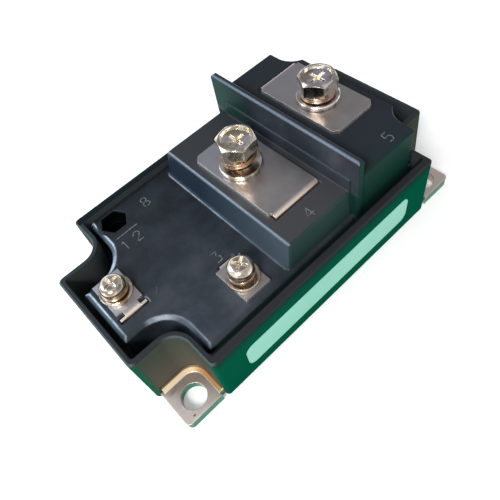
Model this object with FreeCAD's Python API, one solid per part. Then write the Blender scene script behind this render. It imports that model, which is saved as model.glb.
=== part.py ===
import FreeCAD
import Part
import math
import os

# Power transistor module in millimetres, +Z up. The origin is the middle of the
# heat-sink face. X runs from the control end (-X) to the collector end (+X).

V = FreeCAD.Vector

# Moulded case frame
CASE_HALF_X = 54.0
CASE_HALF_Y = 31.0
CASE_TOP = 21.2
SKIRT_BOTTOM = 0.35
SKIRT_T_X = 1.9
SKIRT_T_Y = 1.3
SKIRT_CLEARANCE = 0.1
NOTCH_LENGTH = 13.7
NOTCH_WIDTH = 13.75
NOTCH_X = CASE_HALF_X - NOTCH_LENGTH
NOTCH_Y = CASE_HALF_Y - NOTCH_WIDTH
NOTCH_R = 5.0
NOTCH_DRAFT_X = 0.1
NOTCH_DRAFT_Y = 0.95
CASE_END_R = 1.5
CASE_SIDE_R = 1.2
RIM_END_T = 1.5
RIM_SIDE_T = 2.7
RIM_EDGE = 0.45
LEDGE_Z = 11.0

# Metal base plate, its tabs just inside the corners of the case
TAB_HALF_X = CASE_HALF_X - 1.1
TAB_HALF_Y = CASE_HALF_Y - 0.4
TAB_CORNER_R = 1.6
PLATE_T = 3.0
MOUNT_INSET_X = 5.9
MOUNT_INSET_Y = 5.1
MOUNT_SPACING_X = 2 * (TAB_HALF_X - MOUNT_INSET_X)
MOUNT_SPACING_Y = 2 * (TAB_HALF_Y - MOUNT_INSET_Y)
MOUNT_HOLE_R = 3.5
PAD_STEP = 1.4
PAD_BORDER = 1.35
TAB_GAP_X = 1.25
TAB_GAP_Y = 0.45

# Terminal cover, set inside the rim of the case by the moat round it
DECK_Z = 19.4
COVER_BEVEL = 1.2
COVER_BEVEL_DROP = 0.8
COVER_LEFT_BEVEL = 0.2
MOAT_END = 1.4
MOAT_LEFT = 0.3
MOAT_RIGHT = 2.0
MOAT_NOTCH_X = 1.1
MOAT_NOTCH_Y = 6.0
COVER_HALF_X = CASE_HALF_X - RIM_END_T - MOAT_END - COVER_BEVEL
COVER_LEFT_Y = CASE_HALF_Y - RIM_SIDE_T - MOAT_LEFT - COVER_LEFT_BEVEL
COVER_RIGHT_Y = CASE_HALF_Y - RIM_SIDE_T - MOAT_RIGHT - COVER_BEVEL
COVER_NOTCH_X = NOTCH_X - RIM_END_T - MOAT_NOTCH_X - COVER_BEVEL
COVER_NOTCH_Y = NOTCH_Y - RIM_END_T - MOAT_NOTCH_Y - COVER_BEVEL
COVER_NOTCH_R = 9.85
COVER_WALL = 1.8
COVER_ROOF = 2.4
CAVITY_INSET = COVER_WALL + 0.3
EMITTER_BLOCK_X = -8.5
EMITTER_BLOCK_HALF_Y = COVER_RIGHT_Y - 0.6
EMITTER_DECK_Z = 27.8
BLOCK_DRAFT_X = 1.6
BLOCK_DRAFT_Y = 0.8
BLOCK_COVE_R = 0.6
WALL_X = 13.6
WALL_T = 2.0
WALL_FAR_X = WALL_X + WALL_T
WALL_TOP_Z = 38.95
WALL_RIM_GAP = 1.44
WALL_HALF_Y = CASE_HALF_Y - RIM_SIDE_T - WALL_RIM_GAP
WALL_ROOT_T = 0.45
WALL_ROOT_Z = 31.8
WALL_ROOT_LEFT_Y = EMITTER_BLOCK_HALF_Y - 2.5
WALL_LAND = 1.0
COLLECTOR_DECK_Z = 32.9
COLLECTOR_BLOCK_HALF_Y = WALL_HALF_Y - 0.46
COLLECTOR_END_GAP = 10.4
COLLECTOR_BLOCK_X = COVER_HALF_X - COLLECTOR_END_GAP
COLLECTOR_NOTCH_X = NOTCH_X - RIM_END_T - 2.7
COLLECTOR_NOTCH_Y = NOTCH_Y - 1.25
COLLECTOR_NOTCH_R = 6.5
BLOCK_CORNER_R = 0.8
BLOCK_EDGE = 0.5

# Main terminals and their M6 fasteners
MAIN_T = 1.0
MAIN_BEND_R = 0.7
MAIN_RELIEF = 0.8
MAIN_RELIEF_LENGTH = 1.8
EMITTER_PLATE_GAP = 2.9
EMITTER_FREE_INSET = 9.6
EMITTER_BEND_INSET = 7.9
EMITTER_HOLE_INSET = 7.1
EMITTER_PLATE_X = (EMITTER_BLOCK_X + EMITTER_PLATE_GAP, WALL_X - EMITTER_PLATE_GAP)
EMITTER_RELIEFS = (MAIN_RELIEF, 0.0)
EMITTER_FREE_Y = EMITTER_BLOCK_HALF_Y - EMITTER_FREE_INSET
EMITTER_BEND_Y = EMITTER_BEND_INSET - EMITTER_BLOCK_HALF_Y
EMITTER_BOLT = (EMITTER_PLATE_X[0] + EMITTER_HOLE_INSET, 2.9)
COLLECTOR_WALL_GAP = 6.1
COLLECTOR_EDGE_GAP = 2.6
COLLECTOR_FREE_INSET = 13.7
COLLECTOR_BEND_INSET = 9.3
COLLECTOR_HOLE_INSET = 7.5
COLLECTOR_PLATE_X = (WALL_FAR_X + COLLECTOR_WALL_GAP, COLLECTOR_BLOCK_X - COLLECTOR_EDGE_GAP)
COLLECTOR_RELIEFS = (MAIN_RELIEF, MAIN_RELIEF)
COLLECTOR_FREE_Y = COLLECTOR_FREE_INSET - COLLECTOR_BLOCK_HALF_Y
COLLECTOR_BEND_Y = COLLECTOR_BLOCK_HALF_Y - COLLECTOR_BEND_INSET
COLLECTOR_BOLT = (COLLECTOR_PLATE_X[0] + COLLECTOR_HOLE_INSET, 0.4)
MAIN_LEG_WIDTH = 9.0
MAIN_FOOT = 5.5
EMITTER_CORNER = 1.5
COLLECTOR_CORNER = 1.4
M6_R = 3.0
M6_LENGTH = 16.0
M6_HEAD_AF = 9.6
M6_HEAD_H = 3.8
M6_HEAD_CHAMFER = 0.6
M6_RIM_T = 0.35
M6_DISH_SLOPE = 0.4
M6_DISH_DEPTH = 0.9
RECESS_BLADE = 0.36
M6_NUT_AF = 10.0
M6_NUT_H = 5.0
M6_WASHER_R = 6.0
M6_WASHER_T = 1.3
M6_SPRING_R = 4.85
M6_SPRING_T = 1.5
EMITTER_SPRING_FREE = 4.9
COLLECTOR_SPRING_FREE = 2.3
EMITTER_HEAD_TURN = 9.0
COLLECTOR_HEAD_TURN = 2.0

# Control terminals and their M4 fasteners
CONTROL_T = 0.8
CONTROL_WIDTH = 8.2
CONTROL_LENGTH = 11.6
CONTROL_HOLE_INSET = 5.7
CONTROL_TONGUE = 4.7
CONTROL_BEND_R = 0.4
CONTROL_FOOT = 2.6
BASE_TONGUE_REACH = CONTROL_BEND_R + CONTROL_T
AUX_TONGUE_REACH = 2.2
SHOULDER_RISE = 0.5
BASE_BLOCK_GAP = 10.8
AUX_END_GAP = 5.5
AUX_LEG_INSET = 1.35
BASE_LEG_LEAD = 0.1
BASE_BEND_Y = EMITTER_BEND_Y + MAIN_FOOT - BASE_LEG_LEAD
AUX_BEND_Y = CAVITY_INSET + AUX_LEG_INSET - COVER_NOTCH_Y
BASE_SCREW = (EMITTER_BLOCK_X - BASE_BLOCK_GAP,
              BASE_BEND_Y - BASE_TONGUE_REACH - CONTROL_LENGTH + CONTROL_HOLE_INSET)
AUX_SCREW = (AUX_END_GAP - COVER_HALF_X,
             AUX_BEND_Y + AUX_TONGUE_REACH + CONTROL_LENGTH - CONTROL_HOLE_INSET)
M4_R = 2.0
M4_LENGTH = 8.0
M4_HEAD_R = 3.5
M4_HEAD_H = 2.3
M4_HEAD_ROUND = 1.9
M4_NUT_AF = 7.0
M4_NUT_H = 3.2
M4_WASHER_R = 4.5
M4_WASHER_T = 0.8
M4_SPRING_R = 3.6
M4_SPRING_T = 0.9
BASE_SPRING_FREE = 3.1
AUX_SPRING_FREE = 1.5
BASE_HEAD_TURN = 30.0
AUX_HEAD_TURN = 10.0
REACH_GAP = 1.6
SPARE_POCKET = (4.6 - COVER_NOTCH_X, COVER_LEFT_Y - 4.5)

# Clearances of everything that passes through or sits in the cover
HOLE_CLEARANCE = 0.3
THREAD_CLEARANCE = 0.05
POCKET_CLEARANCE = 0.1
SLOT_CLEARANCE = 0.3
BOSS_WALL = 2.2
BOSS_FLOOR = 1.5
TIP_ROOM = 1.0

# Circuit inside the case
COPPER_T = 0.3
CERAMIC_T = 0.63
CERAMIC_HALF_X = COLLECTOR_NOTCH_X - CAVITY_INSET - 2.0
CERAMIC_HALF_Y = EMITTER_BLOCK_HALF_Y - CAVITY_INSET - 1.4
CERAMIC_MARGIN = 0.8
AUX_FOOT_X = 3.8 - CERAMIC_HALF_X
TRACK_GAP = 1.2
DIE_T = 0.4
POWER_DIE = 11.0
DIODE_DIE = 9.0
DRIVER_DIE = 8.0
SMALL_DIE = 4.0
BOND_WIRE_R = 0.2
BOND_WIRES_PER_DIE = 3
BOND_RISE = 0.35
BOND_LANDING = 0.9
DIE_GAP = 1.5
GEL_TOP = 10.0

# Label on the right side of the case
LABEL_X = (8.8 - NOTCH_X, NOTCH_X - 9.5)
LABEL_Z = (4.9, 14.6)
LABEL_R = 2.5
LABEL_T = 0.15

NOTCH_FOOT_X = NOTCH_X + NOTCH_DRAFT_X
NOTCH_FOOT_Y = NOTCH_Y + NOTCH_DRAFT_Y
PAD_TOP = PLATE_T + PAD_STEP
SKIRT_INNER_X = CASE_HALF_X - SKIRT_T_X
SKIRT_INNER_Y = CASE_HALF_Y - SKIRT_T_Y
PLATE_HALF_X = SKIRT_INNER_X - SKIRT_CLEARANCE
PLATE_HALF_Y = SKIRT_INNER_Y - SKIRT_CLEARANCE
CERAMIC_Z = PAD_TOP + COPPER_T
TRACK_Z = CERAMIC_Z + CERAMIC_T
TRACK_TOP = TRACK_Z + COPPER_T
DIE_TOP = TRACK_TOP + DIE_T


def rounded_wire(corners, z=0.0):
    """Closed wire through (x, y, radius) corners, each rounded by a tangent arc."""
    points = [V(x, y, z) for x, y, r in corners]
    runs = []
    for i, (x, y, r) in enumerate(corners):
        here = points[i]
        back = (points[i - 1] - here).normalize()
        ahead = (points[(i + 1) % len(points)] - here).normalize()
        if r <= 0:
            runs.append((here, None, here))
            continue
        half = back.getAngle(ahead) / 2
        reach = r / math.tan(half)
        inward = (back + ahead).normalize()
        middle = here + inward * (r / math.sin(half) - r)
        runs.append((here + back * reach, middle, here + ahead * reach))
    edges = []
    for i, (start, middle, end) in enumerate(runs):
        if middle is not None:
            edges.append(Part.Arc(start, middle, end).toShape())
        following = runs[(i + 1) % len(runs)][0]
        if (following - end).Length > 1e-6:
            edges.append(Part.LineSegment(end, following).toShape())
    return Part.Wire(edges)


def prism(corners, z0, z1):
    face = Part.Face(rounded_wire(corners, z0))
    return face.extrude(V(0, 0, z1 - z0))


def tapered(lower, upper, z0, z1):
    """Straight-sided solid between two outlines that have the same corners."""
    return Part.makeLoft([rounded_wire(lower, z0), rounded_wire(upper, z1)], True, True)


def box(x0, x1, y0, y1, z0, z1):
    return Part.makeBox(x1 - x0, y1 - y0, z1 - z0, V(x0, y0, z0))


def cylinder(x, y, r, z0, z1):
    return Part.makeCylinder(r, z1 - z0, V(x, y, z0))


def rectangle(x0, x1, y0, y1, r=0.0):
    return [(x0, y0, r), (x1, y0, r), (x1, y1, r), (x0, y1, r)]


def hexagon(across_flats, turn=0.0):
    r = across_flats / math.sqrt(3)
    angles = [turn + math.radians(60 * i) for i in range(6)]
    return [(r * math.cos(a), r * math.sin(a), 0) for a in angles]


def moved(corners, x, y):
    return [(cx + x, cy + y, r) for cx, cy, r in corners]


def notched(half_x, left_y, right_y, notch_x, notch_y, notch_r, end_r, side_r):
    """Outline with a round notch in each corner, going round from the right far end."""
    far_left = [(half_x, notch_y, end_r), (notch_x, notch_y, notch_r), (notch_x, left_y, side_r)]
    near_left = [(-x, y, r) for x, y, r in reversed(far_left)]
    near_right = [(-half_x, -notch_y, end_r), (-notch_x, -notch_y, notch_r),
                  (-notch_x, -right_y, side_r)]
    far_right = [(-x, y, r) for x, y, r in reversed(near_right)]
    return far_left + near_left + near_right + far_right


def one_solid(shape):
    """The shape's single solid with its split faces joined again."""
    return shape.removeSplitter().Solids[0]


def case_outline(inset, draft_x=0.0, draft_y=0.0):
    return notched(CASE_HALF_X - inset, CASE_HALF_Y - inset, CASE_HALF_Y - inset,
                   NOTCH_X + draft_x - inset, NOTCH_Y + draft_y - inset,
                   NOTCH_R + inset, CASE_END_R, CASE_SIDE_R)


def base_plate():
    """Plate with four tabs, recessed between them for the skirt, and a raised pad."""
    edge_x = NOTCH_FOOT_X + TAB_GAP_X
    edge_y = NOTCH_FOOT_Y + TAB_GAP_Y
    quadrant = [(PLATE_HALF_X, edge_y, 0), (TAB_HALF_X, edge_y, 0),
                (TAB_HALF_X, TAB_HALF_Y, TAB_CORNER_R), (edge_x, TAB_HALF_Y, 0),
                (edge_x, PLATE_HALF_Y, 0)]
    turned = [(-x, y, r) for x, y, r in reversed(quadrant)]
    half = quadrant + turned
    outline = half + [(-x, -y, r) for x, y, r in half]
    plate = prism(outline, 0, PLATE_T)
    pad_foot = notched(PLATE_HALF_X, PLATE_HALF_Y, PLATE_HALF_Y,
                       NOTCH_FOOT_X + PAD_BORDER, NOTCH_FOOT_Y + PAD_BORDER,
                       NOTCH_R - PAD_BORDER, 0, 0)
    pad_head = notched(PLATE_HALF_X, PLATE_HALF_Y, PLATE_HALF_Y,
                       NOTCH_FOOT_X, NOTCH_FOOT_Y, NOTCH_R, 0, 0)
    plate = plate.fuse(tapered(pad_foot, pad_head, PLATE_T, PAD_TOP))
    for sx in (-1, 1):
        for sy in (-1, 1):
            x = sx * MOUNT_SPACING_X / 2
            y = sy * MOUNT_SPACING_Y / 2
            plate = plate.cut(cylinder(x, y, MOUNT_HOLE_R, -1, PLATE_T + 1))
    return one_solid(plate)


def cavity_outline():
    """Opening inside the ledge, under the walls of the cover on every side."""
    half_y = EMITTER_BLOCK_HALF_Y - CAVITY_INSET
    return notched(COVER_HALF_X + COVER_BEVEL - CAVITY_INSET, half_y, half_y,
                   COLLECTOR_NOTCH_X - CAVITY_INSET, COVER_NOTCH_Y - CAVITY_INSET,
                   COVER_NOTCH_R + CAVITY_INSET, 0, 1.0)


def case_frame():
    """Drafted outer wall with a skirt round the plate, a ledge and an open middle."""
    height = CASE_TOP - SKIRT_BOTTOM
    outer = tapered(case_outline(0, NOTCH_DRAFT_X, NOTCH_DRAFT_Y), case_outline(0),
                    SKIRT_BOTTOM, CASE_TOP - RIM_EDGE)
    crown = tapered(case_outline(0), case_outline(RIM_EDGE),
                    CASE_TOP - RIM_EDGE, CASE_TOP)
    frame = outer.fuse(crown)
    recess = rectangle(-SKIRT_INNER_X, SKIRT_INNER_X, -SKIRT_INNER_Y, SKIRT_INNER_Y)
    frame = frame.cut(prism(recess, -1, PAD_TOP))
    moat = notched(CASE_HALF_X - RIM_END_T, CASE_HALF_Y - RIM_SIDE_T,
                   CASE_HALF_Y - RIM_SIDE_T, NOTCH_X - RIM_END_T, NOTCH_Y - RIM_END_T,
                   NOTCH_R + RIM_END_T, 1.0, 1.0)
    frame = frame.cut(prism(moat, LEDGE_Z, LEDGE_Z + height))
    frame = frame.cut(prism(cavity_outline(), 0, CASE_TOP))
    label = label_solid(SLOT_CLEARANCE / 2)
    return one_solid(frame.cut(label))


def label_solid(margin=0.0):
    """Sticker flush in its shallow recess on the right side."""
    corners = rectangle(LABEL_X[0] - margin, LABEL_X[1] + margin,
                        LABEL_Z[0] - margin, LABEL_Z[1] + margin, LABEL_R + margin)
    sheet = prism(corners, 0, LABEL_T)
    sheet.rotate(V(0, 0, 0), V(1, 0, 0), 90)
    sheet.translate(V(0, -CASE_HALF_Y + LABEL_T, 0))
    return sheet


def low_cover():
    """Low deck over the whole case, with a bevel all round."""
    top = notched(COVER_HALF_X, COVER_LEFT_Y, COVER_RIGHT_Y, COVER_NOTCH_X, COVER_NOTCH_Y,
                  COVER_NOTCH_R, 0.5, 0.5)
    foot = notched(COVER_HALF_X + COVER_BEVEL, COVER_LEFT_Y + COVER_LEFT_BEVEL,
                   COVER_RIGHT_Y + COVER_BEVEL, COVER_NOTCH_X + COVER_BEVEL,
                   COVER_NOTCH_Y + COVER_BEVEL, COVER_NOTCH_R - COVER_BEVEL, 0.5, 0.5)
    shoulder = DECK_Z - COVER_BEVEL_DROP
    return prism(foot, LEDGE_Z, shoulder).fuse(tapered(foot, top, shoulder, DECK_Z))


def eased_block(foot, top, z0, z1):
    """Drafted block whose top edge is eased all round by a small bevel."""
    shrunk = inset_outline(top, BLOCK_EDGE)
    body = tapered(foot, top, z0, z1 - BLOCK_EDGE)
    return body.fuse(tapered(top, shrunk, z1 - BLOCK_EDGE, z1))


def inset_outline(corners, inset):
    """The outline moved inwards by the inset, for outlines made of X and Y runs."""
    count = len(corners)
    moved_in = []
    for i, (x, y, r) in enumerate(corners):
        px, py, pr = corners[i - 1]
        nx, ny, nr = corners[(i + 1) % count]
        step_in = (x - px, y - py)
        step_out = (nx - x, ny - y)
        length_in = math.hypot(*step_in)
        length_out = math.hypot(*step_out)
        normal_in = (-step_in[1] / length_in, step_in[0] / length_in)
        normal_out = (-step_out[1] / length_out, step_out[0] / length_out)
        turn = step_in[0] * step_out[1] - step_in[1] * step_out[0]
        new_r = r - inset if turn > 0 else r + inset
        moved_in.append((x + inset * (normal_in[0] + normal_out[0]),
                         y + inset * (normal_in[1] + normal_out[1]),
                         max(new_r, 0) if r > 0 else 0))
    return moved_in


def emitter_block_outline(inset, draft_x=0.0, draft_y=0.0):
    half_y = EMITTER_BLOCK_HALF_Y + draft_y - inset
    return rectangle(EMITTER_BLOCK_X - draft_x + inset, WALL_FAR_X,
                     -half_y, half_y, max(BLOCK_CORNER_R - inset, 0.2))


def collector_block_outline(inset):
    """Block with a round bite in each of its two far corners."""
    half_y = COLLECTOR_BLOCK_HALF_Y - inset
    notch_x = COLLECTOR_NOTCH_X - inset
    notch_y = COLLECTOR_NOTCH_Y - inset
    r = COLLECTOR_NOTCH_R + inset
    return [(WALL_X, -half_y, 0), (notch_x, -half_y, BLOCK_CORNER_R),
            (notch_x, -notch_y, r), (notch_x + 2 * r, -notch_y, 0),
            (notch_x + 2 * r, notch_y, 0), (notch_x, notch_y, r),
            (notch_x, half_y, BLOCK_CORNER_R), (WALL_X, half_y, 0)]


def collector_block(inset, z0, z1):
    block = prism(collector_block_outline(inset), z0, z1)
    far = COLLECTOR_BLOCK_X - inset
    return block.cut(box(far, far + CASE_HALF_X, -CASE_HALF_Y, CASE_HALF_Y, z0 - 1, z1 + 1))


def barrier_wall():
    """Tall wall between the two main terminals, with a thicker root on its near face."""
    wall = rectangle(WALL_X, WALL_FAR_X, -WALL_HALF_Y, WALL_HALF_Y, 0)
    top = rectangle(WALL_X + BLOCK_EDGE, WALL_FAR_X - BLOCK_EDGE,
                    -WALL_HALF_Y + BLOCK_EDGE, WALL_HALF_Y - BLOCK_EDGE, 0)
    body = prism(wall, LEDGE_Z, WALL_TOP_Z - BLOCK_EDGE)
    body = body.fuse(tapered(wall, top, WALL_TOP_Z - BLOCK_EDGE, WALL_TOP_Z))
    root = box(WALL_X - WALL_ROOT_T, WALL_X, -EMITTER_BLOCK_HALF_Y, WALL_ROOT_LEFT_Y,
               DECK_Z, WALL_ROOT_Z)
    return body.fuse(root)


def cover_hollow():
    """Space inside the cover, open towards the circuit."""
    low = notched(COVER_HALF_X - COVER_WALL, COVER_LEFT_Y - COVER_WALL,
                  COVER_RIGHT_Y - COVER_WALL, COVER_NOTCH_X - COVER_WALL,
                  COVER_NOTCH_Y + COVER_BEVEL - COVER_WALL, COVER_NOTCH_R, 0.5, 0.5)
    hollow = prism(low, LEDGE_Z - 1, DECK_Z - COVER_ROOF)
    emitter = rectangle(EMITTER_BLOCK_X + COVER_WALL, WALL_X - WALL_ROOT_T - WALL_LAND,
                        COVER_WALL - EMITTER_BLOCK_HALF_Y,
                        EMITTER_BLOCK_HALF_Y - COVER_WALL, 0)
    hollow = hollow.fuse(prism(emitter, LEDGE_Z, EMITTER_DECK_Z - COVER_ROOF))
    inner = collector_block(COVER_WALL, LEDGE_Z, COLLECTOR_DECK_Z - COVER_ROOF)
    inner = inner.cut(box(WALL_X - 1, WALL_FAR_X + WALL_LAND, -CASE_HALF_Y, CASE_HALF_Y,
                          0, WALL_TOP_Z))
    return hollow.fuse(inner)


def nut_boss(x, y, deck_z, bolt_r, nut_af, nut_h, tip_z):
    """Boss under a deck, with the pocket and the blind hole that go into it."""
    pocket_af = nut_af + 2 * POCKET_CLEARANCE
    boss_r = pocket_af / math.sqrt(3) + BOSS_WALL
    floor = tip_z - TIP_ROOM
    boss = cylinder(x, y, boss_r, floor - BOSS_FLOOR, deck_z - BLOCK_EDGE)
    pocket = prism(moved(hexagon(pocket_af), x, y), deck_z - nut_h - POCKET_CLEARANCE,
                   deck_z + 1)
    tip = cylinder(x, y, bolt_r + HOLE_CLEARANCE, floor, deck_z)
    return boss, pocket.fuse(tip)


def leg_slot(x0, x1, y0, y1, z0, z1):
    c = SLOT_CLEARANCE
    return box(x0 - c, x1 + c, y0 - c, y1 + c, z0, z1)


def block_cove():
    """Small hollow fillet along the foot of the emitter block's near face."""
    foot_x = EMITTER_BLOCK_X - BLOCK_DRAFT_X
    half_y = EMITTER_BLOCK_HALF_Y
    strip = box(foot_x - BLOCK_COVE_R, foot_x + BLOCK_COVE_R, -half_y, half_y,
                DECK_Z - BLOCK_EDGE, DECK_Z + BLOCK_COVE_R)
    scoop = Part.makeCylinder(BLOCK_COVE_R, 2 * half_y,
                              V(foot_x - BLOCK_COVE_R, -half_y, DECK_Z + BLOCK_COVE_R), V(0, 1, 0))
    return strip.cut(scoop)


def terminal_cover():
    """Hollow stepped cover with its wall, nut pockets and the slots for the legs."""
    shell = low_cover()
    foot = emitter_block_outline(0, BLOCK_DRAFT_X, BLOCK_DRAFT_Y)
    shell = shell.fuse(prism(foot, LEDGE_Z, DECK_Z))
    shell = shell.fuse(eased_block(foot, emitter_block_outline(0), DECK_Z, EMITTER_DECK_Z))
    shell = shell.fuse(block_cove())
    shell = shell.fuse(collector_block(0, LEDGE_Z, COLLECTOR_DECK_Z - BLOCK_EDGE))
    shell = shell.fuse(collector_crown())
    shell = shell.fuse(barrier_wall())
    outer = shell
    shell = shell.cut(cover_hollow())
    bosses = [
        nut_boss(*EMITTER_BOLT, EMITTER_DECK_Z, M6_R, M6_NUT_AF, M6_NUT_H, emitter_tip()),
        nut_boss(*COLLECTOR_BOLT, COLLECTOR_DECK_Z, M6_R, M6_NUT_AF, M6_NUT_H, collector_tip()),
        nut_boss(*BASE_SCREW, DECK_Z, M4_R, M4_NUT_AF, M4_NUT_H, base_tip()),
        nut_boss(*AUX_SCREW, DECK_Z, M4_R, M4_NUT_AF, M4_NUT_H, aux_tip()),
        spare_pocket(),
    ]
    for boss, hole in bosses:
        shell = shell.fuse(boss.common(outer))
    for boss, hole in bosses:
        shell = shell.cut(hole)
    for slot in leg_slots():
        shell = shell.cut(slot)
    return one_solid(shell)


def collector_crown():
    """Last bit of the collector block, eased along its top edge."""
    z0 = COLLECTOR_DECK_Z - BLOCK_EDGE
    crown = tapered(collector_block_outline(0), inset_outline(collector_block_outline(0),
                    BLOCK_EDGE), z0, COLLECTOR_DECK_Z)
    return crown.cut(box(COLLECTOR_BLOCK_X, 2 * CASE_HALF_X, -CASE_HALF_Y, CASE_HALF_Y,
                         z0 - 1, COLLECTOR_DECK_Z + 1))


def spare_pocket():
    """Pocket left without a nut, with the slit of the terminal that isn't fitted."""
    x, y = SPARE_POCKET
    boss, hole = nut_boss(x, y, DECK_Z, M4_R, M4_NUT_AF, M4_NUT_H, aux_tip())
    slit = box(x - M4_R * 1.5, x + M4_R * 1.5, y - CONTROL_T, y + CONTROL_T,
               DECK_Z - M4_NUT_H - 2 * CONTROL_T, DECK_Z)
    return boss, hole.fuse(slit)


def to_side_view(shape):
    """Turns a shape drawn with X as Y and Y as Z, so that it is seen along X."""
    shape.rotate(V(0, 0, 0), V(1, 1, 1), 120)
    return shape


def bent_strip(x0, x1, y_free, y_bend, z_top, t, bend_r, foot):
    """Strip along Y that bends down at one end and ends in a foot on the circuit."""
    s = 1 if y_bend > y_free else -1
    outer_r = bend_r + t
    inner_y = y_bend - s * t
    end_y = y_bend - s * foot
    corners = [(y_free, z_top, 0), (y_bend, z_top, outer_r), (y_bend, TRACK_TOP, outer_r),
               (end_y, TRACK_TOP, 0), (end_y, TRACK_TOP + t, 0),
               (inner_y, TRACK_TOP + t, bend_r), (inner_y, z_top - t, bend_r),
               (y_free, z_top - t, 0)]
    strip = to_side_view(Part.Face(rounded_wire(corners)))
    strip.translate(V(x0, 0, 0))
    return strip.extrude(V(x1 - x0, 0, 0))


def main_leg_x(plate_x, inner_limit):
    """Both edges of a main leg below the deck, kept inside the circuit's edge."""
    far = min(plate_x[1] - MAIN_RELIEF, inner_limit)
    return far - MAIN_LEG_WIDTH, far


def main_terminal(plate_x, reliefs, y_free, y_bend, z_top, bolt, chamfer, leg_limit):
    """Main terminal with a bolt hole, relief cuts at its bend and a narrower leg."""
    s = 1 if y_bend > y_free else -1
    x0, x1 = plate_x
    strip = bent_strip(x0, x1, y_free, y_bend, z_top, MAIN_T, MAIN_BEND_R, MAIN_FOOT)
    for edge, inner in ((x0 - 1, x0 + reliefs[0]), (x1 - reliefs[1], x1 + 1)):
        low, high = sorted((y_bend - s * MAIN_RELIEF_LENGTH, y_bend + s))
        strip = strip.cut(box(edge, inner, low, high, 0, z_top + 1))
    leg0, leg1 = main_leg_x(plate_x, leg_limit)
    shoulder = z_top - MAIN_RELIEF_LENGTH - 2 * MAIN_T
    for low_x, high_x in ((x0 - 1, leg0), (leg1, x1 + 1)):
        strip = strip.cut(box(low_x, high_x, -CASE_HALF_Y, CASE_HALF_Y, 0, shoulder))
    strip = strip.cut(cylinder(*bolt, M6_R + HOLE_CLEARANCE, z_top - 2 * MAIN_T, z_top + 1))
    for corner_x in (x0, x1):
        inward = 1 if corner_x == x0 else -1
        bite = [(corner_x, y_free, 0), (corner_x + inward * chamfer, y_free, 0),
                (corner_x, y_free + s * chamfer, 0)]
        strip = strip.cut(prism(bite, z_top - 2 * MAIN_T, z_top + 1))
    return one_solid(strip)


def control_terminal(screw, s, reach, shoulders, foot_x):
    """Control terminal with ears beside the bent tongue and a leg to its own pad.

    The plate bends down towards +Y where s is 1 and towards -Y where s is -1.
    """
    x, y = screw
    half = CONTROL_WIDTH / 2
    tongue = CONTROL_TONGUE / 2
    y_free = y - s * CONTROL_HOLE_INSET
    y_ear = y_free + s * CONTROL_LENGTH
    y_bend = y_ear + s * reach
    z_top = DECK_Z + CONTROL_T
    strip = bent_strip(x - half, x + half, y_free, y_bend, z_top, CONTROL_T,
                       CONTROL_BEND_R, CONTROL_FOOT)
    low, high = sorted((y_ear, y_bend + s))
    for x0, x1 in ((x - half - 1, x - tongue), (x + tongue, x + half + 1)):
        strip = strip.cut(box(x0, x1, low, high, 0, z_top + 1))
    strip = strip.cut(cylinder(x, y, M4_R + HOLE_CLEARANCE, z_top - 2 * CONTROL_T, z_top + 1))
    if shoulders:
        strip = strip.fuse(shoulder_bar(x, y_bend, s))
    if foot_x is not None:
        strip = strip.fuse(reach_bar(x, y_bend, s, foot_x))
        strip = strip.cut(box(x - half - 1, foot_x - CONTROL_TONGUE / 2, -CASE_HALF_Y,
                              CASE_HALF_Y, 0, reach_z()))
    return one_solid(strip)


def reach_z():
    """Underside of the bar that carries the auxiliary lead over to its pad."""
    return TRACK_TOP + REACH_GAP


def shoulder_bar(x, y_bend, s):
    """Upright edge of the leg that stays full width beside the tongue."""
    half = CONTROL_WIDTH / 2
    low, high = sorted((y_bend, y_bend - s * CONTROL_T))
    drop = DECK_Z - COVER_ROOF
    bar = box(x - half, x + half, low, high, drop, DECK_Z + SHOULDER_RISE)
    gap = CONTROL_TONGUE / 2
    return bar.cut(box(x - gap, x + gap, low - 1, high + 1, drop + CONTROL_T,
                       DECK_Z + 1))


def reach_bar(x, y_bend, s, foot_x):
    """Flat bar on edge from the leg to the pad, with a foot bent over at its end."""
    low, high = sorted((y_bend, y_bend - s * CONTROL_T))
    half = CONTROL_TONGUE / 2
    bar = box(x - half, foot_x + half, low, high, reach_z(), reach_z() + CONTROL_T * 2)
    drop = box(foot_x - half, foot_x + half, low, high, TRACK_TOP, reach_z() + CONTROL_T)
    inner, outer = sorted((y_bend, y_bend - s * CONTROL_FOOT))
    foot = box(foot_x - half, foot_x + half, inner, outer, TRACK_TOP, TRACK_TOP + CONTROL_T)
    return bar.fuse(drop).fuse(foot)


def leg_slots():
    """Slots through the decks where the four legs go down."""
    slots = []
    for plate_x, reliefs, y_bend, s, z_top in (
            (EMITTER_PLATE_X, EMITTER_RELIEFS, EMITTER_BEND_Y, -1, EMITTER_DECK_Z),
            (COLLECTOR_PLATE_X, COLLECTOR_RELIEFS, COLLECTOR_BEND_Y, 1, COLLECTOR_DECK_Z)):
        low, high = sorted((y_bend, y_bend - s * (MAIN_T + MAIN_BEND_R)))
        slots.append(leg_slot(plate_x[0] + reliefs[0], plate_x[1] - reliefs[1],
                              low, high, z_top - 2 * COVER_ROOF, z_top + 1))
    for (x, y), s, reach, width in ((BASE_SCREW, 1, BASE_TONGUE_REACH, CONTROL_TONGUE),
                                    (AUX_SCREW, -1, AUX_TONGUE_REACH, CONTROL_WIDTH)):
        y_bend = y + s * (CONTROL_LENGTH - CONTROL_HOLE_INSET + reach)
        low, high = sorted((y_bend, y_bend - s * (CONTROL_T + CONTROL_BEND_R)))
        slots.append(leg_slot(x - width / 2, x + width / 2, low, high, LEDGE_Z, DECK_Z + 1))
    return slots


def emitter_head_z():
    return EMITTER_DECK_Z + MAIN_T + M6_WASHER_T + EMITTER_SPRING_FREE


def collector_head_z():
    return COLLECTOR_DECK_Z + MAIN_T + M6_WASHER_T + COLLECTOR_SPRING_FREE


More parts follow.
